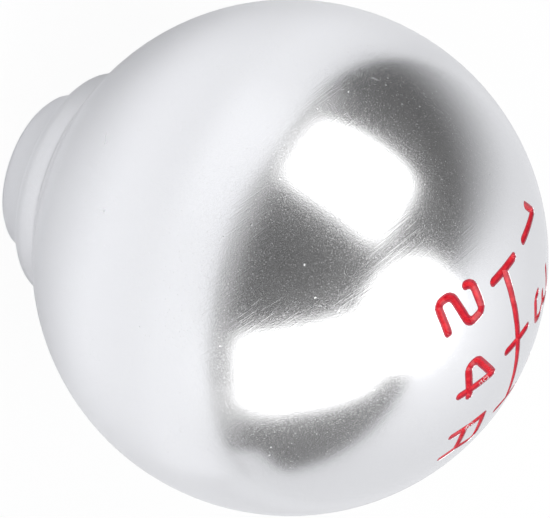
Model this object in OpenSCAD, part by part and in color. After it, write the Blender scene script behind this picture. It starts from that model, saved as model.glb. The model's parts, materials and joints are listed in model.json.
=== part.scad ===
// Gear shift knob: a ball turned with its beaded neck from one bar of aluminium and tapped to screw
// on to a gear lever. A five-speed pattern is engraved in the crown and painted with red enamel.
// Millimetres. The origin is the centre of the neck's end face and +Z runs up the axis to the crown.
// +X is the pattern's right and +Y its up, which faces forward in the car.

/* [Ball] */
// Diameter of the ball
ball_d = 50; // [46:1:58]

/* [Neck] */
// Diameter of the plain ring at the end of the neck
ring_d = 16.2; // [15.6:0.1:18]
// Length of the plain ring, from the end face to the bead
ring_len = 3.75; // [3:0.05:8]
// Chamfer on the rim of the end face
rim_chamfer = 0.35; // [0.1:0.05:0.6]
// Diameter over the bead
bead_d = 23.4; // [21:0.1:26]
// Length of the bead, from the ring to the circle where its wall meets the ball
bead_len = 2.86; // [2.4:0.02:3.8]
// Radius of the bead's lower edge
bead_edge_r = 1.25; // [0.8:0.05:1.6]
// Radius of the fillet between the bead's wall and the ball
neck_fillet = 0.4; // [0.2:0.05:0.5]

/* [Lever hole] */
// Outside diameter of the lever's thread
thread_d = 10; // [8:0.5:12]
// Pitch of the lever's thread
thread_pitch = 1.5; // [1:0.25:1.75]
// Depth of the tapped wall, without the drill's point
hole_len = 28; // [20:1:34]
// Full angle of the drill's point
drill_angle = 118; // [90:1:135]
// How far the countersink opens past the outside of the thread
countersink = 0.4; // [0.2:0.05:0.6]

/* [Engraving] */
// Width of a groove at the surface
groove_w = 0.95; // [0.6:0.05:1.05]
// Depth of a groove, whose section is a V
groove_depth = 0.5; // [0.3:0.05:0.6]

/* [Shift pattern] */
// Distance between neighbouring gates, seen from above
gate_pitch = 8.1; // [7:0.1:9]
// Length of a gate's cross stroke
gate_len = 4; // [3:0.1:5]
// Distance from the pattern's middle line to the middle of a row of numerals
row_offset = 6.5; // [6:0.1:7.5]
// Width of a numeral, between the middles of its strokes
numeral_w = 3.5; // [2.8:0.1:4.2]
// Height of a numeral, between the middles of its strokes
numeral_h = 4.3; // [3.4:0.1:4.8]
// Radius of a numeral's bends, along the middle of the stroke
bend_r = 0.7; // [0.66:0.01:0.72]

/* [Enamel] */
// Depth of the enamel over the bottom of a groove
enamel_t = 0.15; // [0.1:0.01:0.2]
// How far the enamel's edge lies below the ball's surface
enamel_drop = 0.02; // [0.01:0.005:0.06]

/* [Hidden] */
$fn = 180;
// How far a cutting shape reaches out of the metal
reach = 0.1;
// Most that the cutter travels in one straight step, as an angle at the ball's centre
step_angle = 5;
// Most that a bend turns between two steps
bend_angle = 25;
// How far a stroke that runs into another stops short of its middle, as a share of the groove's width
stop_short = 0.2;
// Facets of the half cone at the end of a stroke
end_facets = 8;

ball_r = ball_d / 2;
bead_r = bead_d / 2;
neck_len = ring_len + bead_len;
ball_z = neck_len + sqrt(ball_r * ball_r - bead_r * bead_r);
// A tapped wall stands in as a plain one, at the size of the drill for the tap
hole_r = (thread_d - thread_pitch) / 2;
mouth_r = thread_d / 2 + countersink;
point_len = hole_r / tan(drill_angle / 2);
// Half the width of the cutter where it clears the ball
cutter_half_w = groove_w / 2 * (groove_depth + reach) / groove_depth;

// Numerals as strokes on a grid: 1 is half a numeral's width or height from its middle. A stroke is a
// row of corners, which are rounded later. One that runs into another ends a little short of its middle.
NUMERAL_1 = [
    [[0, -0.95], [0, 1]],
    [[-0.08, 0.93], [-0.78, 0.5]]
];
NUMERAL_2 = [
    [[-0.93, 0.64], [-0.85, 1], [0.84, 1.02], [1.04, 0.12], [-0.99, -0.22], [-0.87, -0.98], [0.82, -0.98]]
];
NUMERAL_3 = [
    [[-0.93, -0.66], [-0.85, -1.02], [0.72, -1.02], [1, -0.45], [0.42, 0.06], [-0.15, 0.06]],
    [[0.5, 0.13], [0.98, 0.5], [0.7, 1], [-0.9, 1]]
];
NUMERAL_4 = [
    [[0.5, -0.95], [0.5, 1.02]],
    [[0.92, -0.42], [-1.1, -0.42], [-1.25, 0.13], [0.38, 0.96]]
];
NUMERAL_5 = [
    [[0.9, 1], [-0.86, 1], [-0.86, 0.24], [0.62, 0.24], [1, -0.35], [0.75, -1], [-0.85, -1], [-0.93, -0.64]]
];
LETTER_R = [
    [[-0.95, -0.99], [-0.95, 0.9]],
    [[-0.88, 0.88], [1.12, 0.93], [0.79, -0.27], [0.99, -1]],
    [[-0.86, -0.27], [0.71, -0.27]]
];

// Strokes of one numeral, seen from above, in gate column -1, 0 or 1 and row -1 or 1
function placed(numeral, column, row) = [
    for (line = numeral) [
        for (p = line) [column * gate_pitch + p.x * numeral_w / 2, row * row_offset + p.y * numeral_h / 2]
    ]
];
// Strokes of the gate: a long bar, and a cross stroke at each column
function gate() =
    let (bar_end = gate_pitch - stop_short * groove_w)
        concat(
            [[[-bar_end, 0], [bar_end, 0]]],
            [for (x = [-gate_pitch, 0, gate_pitch]) [[x, -gate_len / 2], [x, gate_len / 2]]]
        );

// Direction from the ball's centre of a point seen from above
function on_ball(p) = [p.x, p.y, sqrt(ball_r * ball_r - p.x * p.x - p.y * p.y)] / ball_r;
function unit(v) = v / norm(v);
// A stroke with an arc in place of each corner between its ends
function bent(line) = concat(
    [line[0]],
    [
        for (i = [1 : 1 : len(line) - 2])
            let (
                back = unit(line[i - 1] - line[i]),
                ahead = unit(line[i + 1] - line[i]),
                turn = 180 - acos(back * ahead),
                steps = ceil(turn / bend_angle),
                middle = line[i] + unit(back + ahead) * bend_r / cos(turn / 2)
            )
                for (k = [0 : steps])
                    let (a = turn * (k / steps - 0.5))
                        middle + bend_r * (unit(ahead - back) * sin(a) - unit(back + ahead) * cos(a))
    ],
    [line[len(line) - 1]]
);
// A path's points over the ball, with steps added where two lie far apart
function over_ball(line) = concat(
    [
        for (i = [1 : len(line) - 1])
            let (
                from = on_ball(line[i - 1]),
                to = on_ball(line[i]),
                steps = ceil(acos(from * to) / step_angle)
            )
                for (k = [0 : steps - 1]) unit(from * (1 - k / steps) + to * k / steps)
    ],
    [on_ball(line[len(line) - 1])]
);
// Direction of travel at point i of a path: halfway between the steps before and after it
function travel(path, i) =
    let (
        before = i > 0 ? unit(path[i] - path[i - 1]) : unit(path[1] - path[0]),
        after = i < len(path) - 1 ? unit(path[i + 1] - path[i]) : before
    ) unit(before + after);
// How much wider the cutter's section is across a corner than across a run
function mitre(path, i) =
    i == 0 || i == len(path) - 1 ? 1 : 1 / (travel(path, i) * unit(path[i + 1] - path[i]));
// Direction to the left of travel at point i
function left(path, i) = unit(cross(path[i], travel(path, i)));

// All that a V cutter sweeps along one stroke, raised by lift: a section of left edge, bottom and
// right edge at each point, and half a cone at either end
module stroke(line, lift) {
    path = over_ball(bent(line));
    last = len(path) - 1;
    top_r = ball_r + reach + lift;
    tip_r = ball_r - groove_depth + lift;
    sections = [
        for (i = [0 : last])
            let (half = left(path, i) * cutter_half_w * mitre(path, i))
                for (p = [path[i] * top_r + half, path[i] * tip_r, path[i] * top_r - half]) p
    ];
    // Points round an end, from the left edge to the right edge
    ends = [
        for (e = [[0, -1], [last, 1]])
            for (k = [1 : end_facets - 1])
                path[e[0]] * top_r + cutter_half_w * (
                    left(path, e[0]) * cos(180 * k / end_facets)
                    + e[1] * travel(path, e[0]) * sin(180 * k / end_facets)
                )
    ];
    // Corners of the fans that close the start and the end, each from its left edge to its right
    first_fan = 3 * len(path);
    start_rim = concat([0], [for (k = [0 : end_facets - 2]) first_fan + k], [2]);
    end_rim = concat(
        [3 * last],
        [for (k = [0 : end_facets - 2]) first_fan + end_facets - 1 + k],
        [3 * last + 2]
    );
    walls = [
        for (i = [0 : last - 1])
            let (a = 3 * i, b = 3 * i + 3)
                for (f = [
                    [a, a + 1, b + 1], [a, b + 1, b],
                    [a + 1, a + 2, b + 2], [a + 1, b + 2, b + 1],
                    [a + 2, a, b], [a + 2, b, b + 2]
                ]) f
    ];
    fans = [
        for (k = [0 : end_facets - 1])
            for (f = [
                [start_rim[k + 1], 1, start_rim[k]],
                [end_rim[k], 3 * last + 1, end_rim[k + 1]]
            ]) f
    ];
    lids = [
        for (k = [1 : end_facets - 1])
            for (f = [
                [start_rim[0], start_rim[k + 1], start_rim[k]],
                [end_rim[0], end_rim[k], end_rim[k + 1]]
            ]) f
    ];
    translate([0, 0, ball_z])
        polyhedron(points = concat(sections, ends), faces = concat(walls, fans, lids));
}

module strokes(lines, lift = 0) {
    for (line = lines)
        stroke(line, lift);
}

// Enamel that lines the grooves of a set of strokes
module enamel(lines) {
    color("crimson")
        difference() {
            intersection() {
                strokes(lines);
                translate([0, 0, ball_z])
                    sphere(ball_r - enamel_drop);
            }
            strokes(lines, enamel_t);
        }
}

// Half section of the blank, with true arcs for the ball, the bead's edge and the fillet over the bead
module blank_section() {
    edge_c = [bead_r - bead_edge_r, ring_len + bead_edge_r];
    fillet_x = bead_r + neck_fillet;
    fillet_to_ball = ball_r + neck_fillet;
    fillet_c = [fillet_x, ball_z - sqrt(fillet_to_ball * fillet_to_ball - fillet_x * fillet_x)];
    intersection() {
        translate([0, ball_z])
            circle(ball_r);
        square([ball_r + reach, ball_z + ball_r + reach]);
    }
    difference() {
        polygon([[0, ball_z], [0, fillet_c.y], fillet_c]);
        translate(fillet_c)
            circle(neck_fillet);
    }
    translate([0, edge_c.y])
        square([bead_r, fillet_c.y - edge_c.y]);
    translate([0, ring_len])
        square([edge_c.x, bead_edge_r]);
    translate(edge_c)
        circle(bead_edge_r);
    polygon([
        [0, 0],
        [ring_d / 2 - rim_chamfer, 0],
        [ring_d / 2, rim_chamfer],
        [ring_d / 2, edge_c.y],
        [0, edge_c.y]
    ]);
}

// Blind hole for the lever: countersunk mouth, tapped wall and drill point
module lever_hole() {
    rotate_extrude()
        polygon([
            [0, -reach],
            [mouth_r + reach, -reach],
            [hole_r, mouth_r - hole_r],
            [hole_r, hole_len],
            [0, hole_len + point_len]
        ]);
}

module knob_body() {
    color("gainsboro")
        difference() {
            rotate_extrude()
                blank_section();
            lever_hole();
            strokes(gate());
            strokes(placed(NUMERAL_1, -1, 1));
            strokes(placed(NUMERAL_2, -1, -1));
            strokes(placed(NUMERAL_3, 0, 1));
            strokes(placed(NUMERAL_4, 0, -1));
            strokes(placed(NUMERAL_5, 1, 1));
            strokes(placed(LETTER_R, 1, -1));
        }
}

module gate_fill() enamel(gate());
module numeral_1_fill() enamel(placed(NUMERAL_1, -1, 1));
module numeral_2_fill() enamel(placed(NUMERAL_2, -1, -1));
module numeral_3_fill() enamel(placed(NUMERAL_3, 0, 1));
module numeral_4_fill() enamel(placed(NUMERAL_4, 0, -1));
module numeral_5_fill() enamel(placed(NUMERAL_5, 1, 1));
module letter_r_fill() enamel(placed(LETTER_R, 1, -1));

knob_body();
gate_fill();
numeral_1_fill();
numeral_2_fill();
numeral_3_fill();
numeral_4_fill();
numeral_5_fill();
letter_r_fill();
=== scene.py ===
import json
import math

import bmesh
import bpy
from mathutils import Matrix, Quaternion, Vector

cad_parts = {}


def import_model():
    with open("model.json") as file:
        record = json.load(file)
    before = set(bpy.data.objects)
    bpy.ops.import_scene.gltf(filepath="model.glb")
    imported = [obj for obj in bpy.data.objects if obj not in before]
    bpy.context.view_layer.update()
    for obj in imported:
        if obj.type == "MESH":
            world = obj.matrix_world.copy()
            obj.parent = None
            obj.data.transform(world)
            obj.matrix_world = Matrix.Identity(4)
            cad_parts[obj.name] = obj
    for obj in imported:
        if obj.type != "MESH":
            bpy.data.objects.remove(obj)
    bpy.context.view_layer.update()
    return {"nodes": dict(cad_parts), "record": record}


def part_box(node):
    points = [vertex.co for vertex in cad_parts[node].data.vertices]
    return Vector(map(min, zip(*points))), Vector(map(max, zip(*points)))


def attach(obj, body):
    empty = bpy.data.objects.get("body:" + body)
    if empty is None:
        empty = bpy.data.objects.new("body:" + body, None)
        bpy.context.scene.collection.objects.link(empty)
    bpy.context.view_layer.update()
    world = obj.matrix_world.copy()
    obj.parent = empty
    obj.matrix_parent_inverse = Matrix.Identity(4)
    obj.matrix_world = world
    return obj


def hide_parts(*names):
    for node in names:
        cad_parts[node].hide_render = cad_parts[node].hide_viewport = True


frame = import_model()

MM = 0.001

# The knob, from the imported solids
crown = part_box("knob_body")[1]
BALL_R = crown.x
BALL_MID = Vector((0, 0, crown.z - BALL_R))
LEVER_MOUNT = next(m for m in frame["record"]["mounts"] if m["name"] == "lever_thread")

# The lever's M10 x 1.5 thread
BORE_R = LEVER_MOUNT["dims"]["r_mm"] * MM
THREAD_MAJOR_R = 5.0 * MM
THREAD_PITCH = 1.5 * MM
THREAD_FLANK = math.radians(30)
THREAD_STEPS = 60
# The least angle between two faces of the thread that shows as a sharp edge
THREAD_CREASE = math.radians(25)
# Points closer to each other than this are one point, and points closer to a cut than this lie on it
MERGE = 1e-7
THREAD_CUT = 1e-8
# The direction that the thread's faces are sorted along, on which no two of them share a place
SORT_ALONG = Vector((0.317, 0.529, 1.0))

# The blasted metal: how large its grain, its rough specks and its slow changes are
GRAIN = 0.15 * MM
TOOTH = 0.12 * MM
DRIFT = 6 * MM
# The cell that holds one pit at most, and how far from its middle the pit fades, as shares of a cell
PIT_CELL = 1.3 * MM
PIT_FADE = (0.09, 0.03)
# How wide the hairlines and their patches are, and how many times as long a hairline is
HAIRLINE = 0.14 * MM
HAIR_PATCH = 4 * MM
HAIR_STRETCH = 30.0
# How high the grain stands
GRAIN_HEIGHT = 0.0048 * MM
# The share of the metal's light that is spread wide
LOOSE_SHARE = 0.16
# The metal's colours: the grain's lows and highs, a mark, and painted shade on the end edge
METAL_LOW = (0.868, 0.868, 0.876, 1.0)
METAL_HIGH = (0.896, 0.896, 0.904, 1.0)
METAL_MARK = (0.78, 0.78, 0.79, 1.0)
METAL_END_EDGE_SHADE = (0.5, 0.5, 0.51, 1.0)
# The neck's end edge, and the pair of distances over which painted shade darkens it
END_EDGE_R = 8.1 * MM
END_EDGE_SHADE_FADE = (0.3 * MM, 0.1 * MM)

# The direction square to the strokes that the ball was rubbed with, once blasted
ACROSS_RUB = Vector((-0.69, 0.11, -0.67))
# Middles of the rubbed patches, as directions from the ball's centre, and how far out they fade
RUBBED_SPOTS = [(-0.64, -0.38, 0.67), (-0.94, -0.1, 0.33), (-0.545, -0.75, 0.36), (0.3, 0.85, 0.43)]
RUBBED_FADE = (5 * MM, 1.5 * MM)
# Scratches and nicks: where, how wide in mm, how many times as long, and which way
MARKS = [((-0.752, -0.463, -0.468), 0.12, 8.0, (0.299, -0.874, 0.384)),
         ((-0.635, -0.699, -0.330), 0.20, 1.0, (1.0, 0.0, 0.0)),
         ((-0.927, 0.112, 0.358), 0.20, 2.5, (0.375, 0.236, 0.897)),
         ((-0.909, 0.119, 0.400), 0.16, 1.0, (1.0, 0.0, 0.0)),
         ((-0.871, 0.089, 0.483), 0.16, 1.0, (1.0, 0.0, 0.0)),
         ((-0.826, 0.061, 0.560), 0.14, 1.0, (1.0, 0.0, 0.0))]

# The enamel: how large its patches, its ripples and the crumbs of a chip are, and how high they stand
ENAMEL_PATCH = 0.7 * MM
ENAMEL_RIPPLE = 0.25 * MM
ENAMEL_CRUMB = 0.18 * MM
ENAMEL_HEIGHT = 0.03 * MM
# How deep under the ball's surface the enamel starts to darken, as thin enamel with painted shade on the
# groove walls, and where it is darkest
ENAMEL_EDGE = (0.17 * MM, 0.03 * MM)
# Its colours: thin and thick enamel, thin enamel with painted shade at the edges of a groove, and where it
# is chipped
ENAMEL_THIN = (0.68, 0.016, 0.036, 1.0)
ENAMEL_THICK = (0.88, 0.04, 0.06, 1.0)
ENAMEL_THIN_AND_SHADED = (0.28, 0.01, 0.035, 1.0)
ENAMEL_CHIP = (0.85, 0.8, 0.8, 1.0)
# Places where it is chipped, in the same way as the rubbed patches
CHIPPED_SPOTS = [(0.05, -0.215, 0.975), (0.262, -0.255, 0.931)]
CHIPPED_FADE = (0.8 * MM, 0.4 * MM)

# The photograph's viewpoint
PICTURE = (550, 518)
BALL_PIXEL = (290.0, 257.7)
BALL_PIXEL_R = 258.4
VIEW_AZIMUTH = -136.35
VIEW_ELEVATION = 25.02
VIEW_ROLL = 109.63
VIEW_DISTANCE = 12 * BALL_R
SENSOR = 36.0

# The table and the dome over it
STUDIO_R = 1.2
STUDIO_FOOT = -0.15
TABLE_R = 1.05 * STUDIO_R
TABLE_EDGE = 0.5
TABLE_EDGE_AZIMUTH = 118
STAGE_CUT = 1e-6

# What the metal shows of the studio. A pair is where a thing is nothing and where it is whole, and two
# pairs are its two sides. Bearings round the axis and heights over the ball's middle are in degrees
SWEEP_SIDES = ((-27.0, -19.0), (120.0, 72.0))
SWEEP_RISE = (15.0, 70.0)
LEDGE_RIGHT = (-36.0, -54.0)
LEDGE_LEFT = (135.0, 155.0)
LEDGE_TOP = (9.5, 2.0)
CORNER_SIDES = ((-70.0, -50.0), (0.0, -25.0))
CURTAIN_SIDES = ((-51.0, -57.0), (-75.0, -68.0))
CURTAIN_TOP = (30.0, 20.0)
PANEL_SIDES = ((-39.5, -37.5), (0.0, -10.0))
PANEL_TOP = (9.0, 7.5)
BAND_RIGHT = (-120.0, -160.0)
BAND_LEFT = (155.0, 178.0)
# The same on the table, as distances from the axis
RING_SIDES = ((36 * MM, 16 * MM), (7 * MM, 9.5 * MM))
RING_SHADE = (9.5 * MM, 14 * MM)
OPEN_TOP = (30 * MM, 90 * MM)
BAND_NEAR_FAR = ((40 * MM, 90 * MM), (350 * MM, 180 * MM))
SWEEP_START = (50 * MM, 250 * MM)
SHADOW_END = (50 * MM, 200 * MM)
# The share of the table that glows, and so takes no light and no shadow. To the camera: near the knob,
# and what is added past its shadow. In the metal: all over, and what the sweep's foot, the ring, the band
# and the band's two sides add
GLOW_SEEN = 0.95
GLOW_PAST_SHADOW = 0.05
GLOW_MIRRORED = 0.05
GLOW_BY_SWEEP = 0.85
GLOW_RING = 0.3
GLOW_BAND = 0.2
GLOW_BAND_SIDES = 0.35

# How bright each of them is, then the light that fills the room, and the lamps
ROOM_GREY = 0.085
CORNER_GREY = 0.145
LEDGE_GREY = 0.44
CURTAIN_GREY = 0.55
SWEEP_LOW = 0.82
SWEEP_HIGH = 1.0
# The table's glow in the metal: painted light by the neck, painted shadow past it, painted light in the
# open and by the sweep
TABLE_BY_NECK = 0.87
TABLE_SHADED = 0.6
TABLE_OPEN = 1.15
TABLE_BY_SWEEP = 0.87
TABLE_COLOUR = 0.97
ROOM_FILL = 0.15
LAMP_LEVEL = 2.65


def direction(azimuth, elevation):
    """The unit vector at an azimuth and an elevation, in degrees."""
    turn, rise = math.radians(azimuth), math.radians(elevation)
    return Vector((math.cos(rise) * math.cos(turn), math.cos(rise) * math.sin(turn), math.sin(rise)))


class Wire:
    """A number that a shader works out. Maths on it adds Math nodes."""

    def __init__(self, shader, socket):
        self.shader = shader
        self.socket = socket

    def maths(self, operation, *values):
        return self.shader.node("Math", {"operation": operation}, *values)

    def other(self, name):
        """Another output of the node that this number comes from."""
        return Wire(self.shader, self.socket.node.outputs[name])

    def __add__(self, other):
        return self.maths("ADD", self, other)

    def __radd__(self, other):
        return self.maths("ADD", other, self)

    def __sub__(self, other):
        return self.maths("SUBTRACT", self, other)

    def __rsub__(self, other):
        return self.maths("SUBTRACT", other, self)

    def __mul__(self, other):
        return self.maths("MULTIPLY", self, other)

    def __rmul__(self, other):
        return self.maths("MULTIPLY", other, self)

    def __pow__(self, other):
        return self.maths("POWER", self, other)

    def __abs__(self):
        return self.maths("ABSOLUTE", self)

    def greater(self, other):
        """The greater of this number and another."""
        return self.maths("MAXIMUM", self, other)

    def hypot(self, other):
        """The long side of the right triangle that has this number and another as its short sides."""
        return (self * self + other * other) ** 0.5

    def bearing(self, along):
        """The angle, in degrees, of a line that goes this far across and that far along."""
        return self.maths("ARCTAN2", self, along) * (180 / math.pi)

    def rise(self, low, high):
        """0 below low, 1 above high and a smooth step between. Low may be the greater."""
        settings = {"interpolation_type": "SMOOTHSTEP"}
        return self.shader.node("MapRange", settings, self, low, high, 0.0, 1.0)

    def between(self, one_side, other_side):
        """1 between two sides and 0 outside them. Each side is the pair that rise takes."""
        return self.rise(*one_side) * self.rise(*other_side)


class Shader:
    """The nodes of a material, a lamp or the world."""

    def __init__(self, owner):
        owner.use_nodes = True
        self.owner = owner
        self.tree = owner.node_tree
        self.tree.nodes.clear()

    def node(self, kind, settings=None, *values, out=0, **named):
        """Adds a node, makes its settings, then fills its sockets in order or by name."""
        node = self.tree.nodes.new("ShaderNode" + kind)
        for name, value in (settings or {}).items():
            setattr(node, name, value)
        sockets = [s for s in node.inputs if s.enabled]
        for socket, value in zip(sockets, values):
            self.feed(socket, value)
        for name, value in named.items():
            label = name.replace("_", " ")
            self.feed(next(s for s in sockets if s.name == label), value)
        outputs = [s for s in node.outputs if s.enabled]
        return Wire(self, outputs[out]) if outputs else None

    def feed(self, socket, value):
        if isinstance(value, Wire):
            self.tree.links.new(value.socket, socket)
        elif value is not None:
            socket.default_value = value

    def place(self):
        """The object's own coordinates."""
        return self.node("TexCoord", None, out=3)

    def split(self, vector):
        """A vector's three numbers."""
        x = self.node("SeparateXYZ", None, vector)
        return x, x.other("Y"), x.other("Z")

    def noise(self, where, size, detail=2.0, roughness=0.5):
        """A noise whose features are about that size, in metres."""
        return self.node("TexNoise", {"noise_dimensions": "3D", "normalize": True}, Vector=where,
                         Scale=1 / size, Detail=detail, Roughness=roughness)

    def mix(self, factor, a, b):
        """Two colours, mixed."""
        return self.node("Mix", {"data_type": "RGBA", "clamp_factor": True}, factor, a, b)

    def spot(self, where, towards, outer, inner, stretch=1.0, along=(1.0, 0.0, 0.0)):
        """1 at a place on the ball and 0 from outer on. Stretch draws the spot out along a direction."""
        middle = BALL_MID + BALL_R * Vector(towards)
        turn = Vector(along).to_track_quat("X", "Z").to_euler()
        away = self.node("Mapping", {"vector_type": "TEXTURE"}, where, middle, turn, (stretch, 1.0, 1.0))
        return self.node("VectorMath", {"operation": "LENGTH"}, away).rise(outer, inner)

    def finish(self, surface):
        kinds = {"World": "OutputWorld", "Material": "OutputMaterial"}
        kind = kinds.get(type(self.owner).__name__, "OutputLight")
        self.node(kind, None, Surface=surface)


def grey(level):
    return (level, level, level, 1.0)


def cool(level):
    """A white that leans to blue, as the table and the sweep do in the metal."""
    return (0.965 * level, 0.973 * level, level, 1.0)


def new_object(name, data):
    """Puts a mesh, a lamp or a camera into the scene, at the origin."""
    thing = bpy.data.objects.new(name, data)
    bpy.context.scene.collection.objects.link(thing)
    return thing


def stage_piece(name, bm, material):
    """Makes a bmesh an object with smooth faces."""
    mesh = bpy.data.meshes.new(name)
    bm.normal_update()
    for face in bm.faces:
        face.smooth = True
    bm.to_mesh(mesh)
    bm.free()
    mesh.materials.append(material)
    return new_object(name, mesh)


def cut_off(bm, point, side, dist):
    """Cuts a mesh by a plane through a point, and drops what lies on the side that is given."""
    bmesh.ops.bisect_plane(bm, geom=bm.verts[:] + bm.edges[:] + bm.faces[:], dist=dist,
                           plane_co=point, plane_no=side, clear_outer=True)


def satin_aluminium():
    """Blasted and clear anodised: fine grain, a few pits, marks, and hairlines where it was rubbed."""
    material = bpy.data.materials.new("satin_aluminium")
    s = Shader(material)
    where = s.place()
    grain = s.noise(where, GRAIN, roughness=0.6)
    tooth = s.noise(where, TOOTH).rise(0.33, 0.76)
    drift = s.noise(where, DRIFT)
    cell = s.node("TexVoronoi", None, Vector=where, Scale=1 / PIT_CELL)
    holds_pit = s.split(cell.other("Color"))[0].rise(0.72, 0.75)
    pits = holds_pit * cell.rise(*PIT_FADE)
    along_rub = ACROSS_RUB.to_track_quat("X", "Z").to_euler()
    rubbed = s.node("Mapping", {"vector_type": "TEXTURE"}, where, None, along_rub,
                    (1.0, HAIR_STRETCH, HAIR_STRETCH))
    hair = s.noise(rubbed, HAIRLINE, detail=1.0).rise(0.56, 0.68)
    patches = s.noise(where, HAIR_PATCH).rise(0.52, 0.66)
    for towards in RUBBED_SPOTS:
        patches = patches.greater(s.spot(where, towards, *RUBBED_FADE))
    marks = 0
    for towards, width, stretch, along in MARKS:
        marks = marks + s.spot(where, towards, width * MM, width * MM / 3, stretch, along)
    height = grain + 0.4 * hair * patches - 4.0 * pits
    bump = s.node("Bump", None, Strength=1.0, Distance=GRAIN_HEIGHT, Height=height)
    x, y, z = s.split(where)
    # Painted shade on the neck's end edge: the base colour turns darker close to it
    end_edge_shade = (x.hypot(y) - END_EDGE_R).hypot(z).rise(*END_EDGE_SHADE_FADE)
    bright = s.mix(grain.rise(0.3, 0.7), METAL_LOW, METAL_HIGH)
    bright = s.mix(0.6 * marks, bright, METAL_MARK)
    bright = s.mix(end_edge_shade, bright, METAL_END_EDGE_SHADE)
    tight = s.node("BsdfPrincipled", None, Base_Color=bright, Metallic=1.0,
                   Roughness=0.13 + 0.15 * tooth + 0.04 * (drift - 0.5) + 0.2 * marks, Normal=bump)
    loose = s.node("BsdfPrincipled", None, Base_Color=bright, Metallic=1.0,
                   Roughness=0.36 + 0.16 * tooth, Normal=bump)
    s.finish(s.node("MixShader", None, LOOSE_SHARE, tight, loose))
    return material


def red_enamel():
    """Enamel brushed into the grooves and wiped off the ball, so it is thin at their edges, where painted
    shade on the groove walls darkens it too.
    """
    material = bpy.data.materials.new("red_enamel")
    s = Shader(material)
    where = s.place()
    patch = s.noise(where, ENAMEL_PATCH, detail=3.0, roughness=0.6)
    ripple = s.noise(where, ENAMEL_RIPPLE, detail=1.0)
    high = s.node("VectorMath", {"operation": "DISTANCE"}, where, BALL_MID)
    # Darker towards the groove's edges: thin enamel, with painted shade on the groove walls
    edge = high.rise(BALL_R - ENAMEL_EDGE[0], BALL_R - ENAMEL_EDGE[1])
    body = s.mix(patch.rise(0.35, 0.7), ENAMEL_THIN, ENAMEL_THICK)
    red = s.mix(0.65 * edge, body, ENAMEL_THIN_AND_SHADED)
    chipped = 0
    for towards in CHIPPED_SPOTS:
        chipped = chipped + s.spot(where, towards, *CHIPPED_FADE)
    chips = s.noise(where, ENAMEL_CRUMB, detail=1.0).rise(0.52, 0.58) * chipped
    colour = s.mix(chips, red, ENAMEL_CHIP)
    height = patch + 0.3 * ripple - 0.5 * chips
    bump = s.node("Bump", None, Strength=1.0, Distance=ENAMEL_HEIGHT, Height=height)
    s.finish(s.node("BsdfPrincipled", None, Base_Color=colour, Roughness=0.22, Normal=bump))
    return material


def from_middle(s):
    """How far a place is from the ball's middle, along each axis."""
    return s.split(s.node("VectorMath", {"operation": "SUBTRACT"}, s.place(), BALL_MID))


def table_white():
    """White to the camera, with the knob's soft shadow kept. In the metal it shows painted light and shade:
    a pale ring by the neck, painted shadow past it, a band of painted light further off, and white where it
    runs up into the sweep."""
    material = bpy.data.materials.new("table_white")
    s = Shader(material)
    x, y, _ = from_middle(s)
    turn, away = y.bearing(x), x.hypot(y)
    sweep = turn.between(*SWEEP_SIDES)
    by_sweep = sweep * away.rise(*SWEEP_START)
    ring = away.between(*RING_SIDES)
    sides = turn.rise(*BAND_LEFT) + turn.rise(*BAND_RIGHT)
    band = away.between(*BAND_NEAR_FAR) * (1 - sweep) * (GLOW_BAND + GLOW_BAND_SIDES * sides)
    seen = s.node("LightPath")
    mirrored = seen.other("Is Glossy Ray") + seen.other("Is Transmission Ray")
    to_camera = GLOW_SEEN + GLOW_PAST_SHADOW * away.rise(*SHADOW_END)
    in_metal = GLOW_MIRRORED + GLOW_BY_SWEEP * by_sweep + GLOW_RING * ring + band
    share = to_camera * seen + in_metal * mirrored
    # Painted light and shade that the metal shows on the table: pale by the neck, painted shadow past it,
    # brighter in the open and by the sweep
    shaded = s.mix(away.rise(*RING_SHADE), cool(TABLE_BY_NECK), cool(TABLE_SHADED))
    open_top = s.mix(away.rise(*OPEN_TOP) - sweep, shaded, cool(TABLE_OPEN))
    glow = s.mix(seen, s.mix(by_sweep, open_top, cool(TABLE_BY_SWEEP)), grey(1.0))
    s.finish(s.node("MixShader", None, share,
                    s.node("BsdfDiffuse", None, Color=cool(TABLE_COLOUR)),
                    s.node("Emission", None, Color=glow, Strength=1.0)))
    return material


def studio_wall():
    """A white sweep behind the knob, and a grey room round the rest. In the room are a paler corner, a
    ledge, a curtain and a white panel."""
    material = bpy.data.materials.new("studio_wall")
    s = Shader(material)
    x, y, z = from_middle(s)
    turn, lift = y.bearing(x), z.bearing(x.hypot(y))
    corner = turn.between(*CORNER_SIDES)
    ledge = lift.rise(*LEDGE_TOP) * (turn.rise(*LEDGE_RIGHT) + turn.rise(*LEDGE_LEFT))
    curtain = turn.between(*CURTAIN_SIDES) * lift.rise(*CURTAIN_TOP)
    room = s.mix(corner, grey(ROOM_GREY), grey(CORNER_GREY))
    room = s.mix(ledge, room, grey(LEDGE_GREY))
    room = s.mix(curtain, room, grey(CURTAIN_GREY))
    panel = turn.between(*PANEL_SIDES) * lift.rise(*PANEL_TOP)
    white = turn.between(*SWEEP_SIDES).greater(panel)
    sweep = s.mix(lift.rise(*SWEEP_RISE), cool(SWEEP_LOW), cool(SWEEP_HIGH))
    s.finish(s.node("Emission", None, Color=s.mix(white, room, sweep), Strength=1.0))
    return material


def table():
    """A flat white top. One edge lies near on one side, as the metal shows it."""
    bm = bmesh.new()
    bmesh.ops.create_circle(bm, cap_ends=True, radius=TABLE_R, segments=96)
    side = direction(TABLE_EDGE_AZIMUTH, 0)
    cut_off(bm, side * TABLE_EDGE, side, STAGE_CUT)
    return stage_piece("table", bm, table_white())


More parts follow.
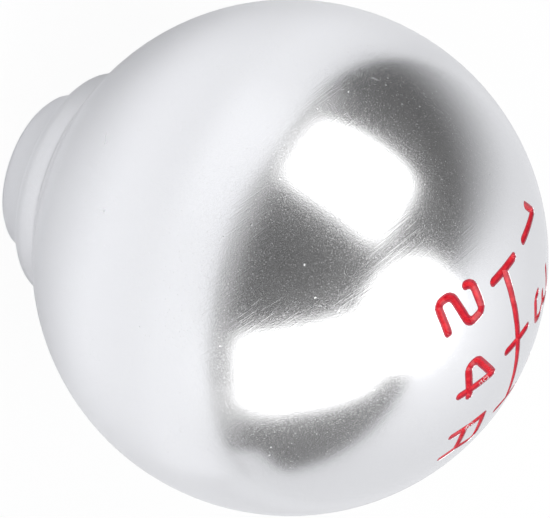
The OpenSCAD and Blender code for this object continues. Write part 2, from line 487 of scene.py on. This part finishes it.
def studio():
    """A dome round the table, which shows in the metal alone."""
    bm = bmesh.new()
    bmesh.ops.create_uvsphere(bm, u_segments=96, v_segments=48, radius=STUDIO_R)
    cut_off(bm, (0, 0, STUDIO_FOOT), (0, 0, -1), STAGE_CUT)
    bmesh.ops.reverse_faces(bm, faces=bm.faces[:])
    dome = stage_piece("studio_dome", bm, studio_wall())
    dome.visible_camera = False
    dome.visible_diffuse = False
    dome.visible_shadow = False
    return dome


def feathered(data, round_face, feather):
    """Makes a lamp's face fade out over a share of its width, towards its edges or towards a circle."""
    s = Shader(data)
    face = s.node("SeparateXYZ", None, s.node("NewGeometry", None, out=5))
    u, v = face - 0.5, face.other("Y") - 0.5
    fade = (0.5, 0.5 - feather)
    level = u.hypot(v).rise(*fade) if round_face else abs(u).rise(*fade) * abs(v).rise(*fade)
    s.finish(s.node("Emission", None, Color=grey(1.0), Strength=level))


def lamp(name, towards, facing, width, height, round_face=False, distance=0.9, feather=0.25):
    """A soft box. Towards is where it is, facing is where its back points, and width and height are
    shares of its distance."""
    data = bpy.data.lights.new(name, "AREA")
    data.shape = "RECTANGLE"
    data.size = distance * width
    data.size_y = distance * height
    data.energy = LAMP_LEVEL * math.pi * data.size * data.size_y
    feathered(data, round_face, feather)
    box = new_object(name, data)
    box.location = BALL_MID + distance * towards
    box.rotation_mode = "QUATERNION"
    box.rotation_quaternion = facing.to_track_quat("Z", "Y")
    box.visible_camera = False


def lamps():
    lamp("soft_box_left", direction(170.5, 29), direction(191, 34.5), 0.91, 1.12)
    lamp("soft_box_right", direction(-79.5, 36), direction(-82, 39), 0.9, 1.3)
    lamp("soft_box_above", Vector((-0.02, -0.17, 1.0)), Vector((0, 0, 1)), 1.06, 1.06, round_face=True)


def world():
    """White to the camera, and a low grey light on everything."""
    data = bpy.data.worlds.new("white")
    bpy.context.scene.world = data
    s = Shader(data)
    seen = s.node("LightPath")
    s.finish(s.node("Background", None, Color=s.mix(seen, grey(ROOM_FILL), grey(1.0)), Strength=1.0))


def camera():
    """The camera that sees the ball where the photograph shows it."""
    data = bpy.data.cameras.new("camera")
    width, height = PICTURE
    focal_pixels = BALL_PIXEL_R * math.sqrt((VIEW_DISTANCE / BALL_R) ** 2 - 1)
    data.sensor_width = SENSOR
    data.lens = focal_pixels * SENSOR / width
    data.shift_x = (width / 2 - BALL_PIXEL[0]) / width
    data.shift_y = (BALL_PIXEL[1] - height / 2) / width
    data.clip_start = 0.01
    eye = new_object("camera", data)
    back = direction(VIEW_AZIMUTH, VIEW_ELEVATION)
    roll = Quaternion((0, 0, 1), math.radians(VIEW_ROLL))
    eye.location = BALL_MID + VIEW_DISTANCE * back
    eye.rotation_mode = "QUATERNION"
    eye.rotation_quaternion = back.to_track_quat("Z", "Y") @ roll
    bpy.context.scene.camera = eye


def off_axis(vert):
    return math.hypot(vert.co.x, vert.co.y)


def put_in_order(bm):
    """Sorts points, edges and faces by place. Spin and the cuts leave them in another order on each run."""
    bm.verts.sort(key=lambda vert: vert.co.dot(SORT_ALONG))
    bm.edges.sort(key=lambda edge: (edge.verts[0].co + edge.verts[1].co).dot(SORT_ALONG))
    bm.faces.sort(key=lambda face: face.calc_center_median().dot(SORT_ALONG))


def thread_faces(foot, top):
    """The helix that the tap leaves between two heights, as a mesh."""
    low, high = foot - 2 * THREAD_PITCH, top + THREAD_PITCH
    turns = math.ceil((high - low) / THREAD_PITCH)
    flank = (THREAD_MAJOR_R - BORE_R) * math.tan(THREAD_FLANK)
    root = THREAD_PITCH / 8
    crest = THREAD_PITCH - root - 2 * flank
    profile = [(BORE_R, 0.0), (BORE_R, crest), (THREAD_MAJOR_R, crest + flank),
               (THREAD_MAJOR_R, crest + flank + root), (BORE_R, THREAD_PITCH)]
    bm = bmesh.new()
    verts = [bm.verts.new((r, 0.0, low + z)) for r, z in profile]
    edges = [bm.edges.new(pair) for pair in zip(verts, verts[1:])]
    bmesh.ops.spin(bm, geom=verts + edges, cent=(0, 0, 0), axis=(0, 0, 1), angle=2 * math.pi * turns,
                   steps=THREAD_STEPS * turns, dvec=(0, 0, THREAD_PITCH / THREAD_STEPS), use_merge=False)
    bmesh.ops.remove_doubles(bm, verts=bm.verts, dist=MERGE)
    for z, side in ((foot, -1), (top, 1)):
        cut_off(bm, (0, 0, z), (0, 0, side), THREAD_CUT)
    put_in_order(bm)
    mesh = bpy.data.meshes.new("thread_faces")
    bm.to_mesh(mesh)
    bm.free()
    return mesh


def tapped_body(node):
    """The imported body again, with the lever's thread in place of the plain wall of its hole."""
    near = 0.01 * MM
    mesh = node.data.copy()
    bm = bmesh.new()
    bm.from_mesh(mesh)
    turned = bm.loops.layers.float_vector.new("turned_normal")
    for face in bm.faces:
        for loop in face.loops:
            loop[turned] = mesh.corner_normals[loop.index].vector
    bmesh.ops.remove_doubles(bm, verts=bm.verts, dist=MERGE)
    wall = [f for f in bm.faces if all(abs(off_axis(v) - BORE_R) < near for v in f.verts)]
    heights = [v.co.z for f in wall for v in f.verts]
    foot, top = min(heights), max(heights)
    bmesh.ops.delete(bm, geom=wall, context="FACES")
    thread = thread_faces(foot, top)
    bm.from_mesh(thread)
    bpy.data.meshes.remove(thread)
    for z in (foot, top):
        rims = [e for e in bm.edges if e.is_boundary and all(abs(v.co.z - z) < near for v in e.verts)]
        bmesh.ops.bridge_loops(bm, edges=rims)
    fresh = [f for f in bm.faces if all(
        BORE_R - near < off_axis(v) < THREAD_MAJOR_R + near
        and foot - near < v.co.z < top + near for v in f.verts)]
    bmesh.ops.recalc_face_normals(bm, faces=fresh)
    for face in fresh:
        face.smooth = True
        for loop in face.loops:
            edge = loop.edge
            loop[turned] = (0, 0, 0)
            edge.smooth = len(edge.link_faces) == 2 and edge.calc_face_angle() < THREAD_CREASE
    bm.to_mesh(mesh)
    bm.free()
    # The turned faces keep their own normals, and a zero leaves the thread's to its faces
    normals = [value.vector.copy() for value in mesh.attributes["turned_normal"].data]
    mesh.normals_split_custom_set(normals)
    mesh.attributes.remove(mesh.attributes["turned_normal"])
    return new_object("tapped_body", mesh)


bpy.context.scene.view_settings.view_transform = "Standard"

aluminium = satin_aluminium()
enamel = red_enamel()
for name, node in frame["nodes"].items():
    for slot in node.material_slots:
        slot.material = aluminium if name == "knob_body" else enamel

body = tapped_body(frame["nodes"]["knob_body"])
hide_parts("knob_body")
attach(body, "root")

table()
studio()
world()
lamps()
camera()
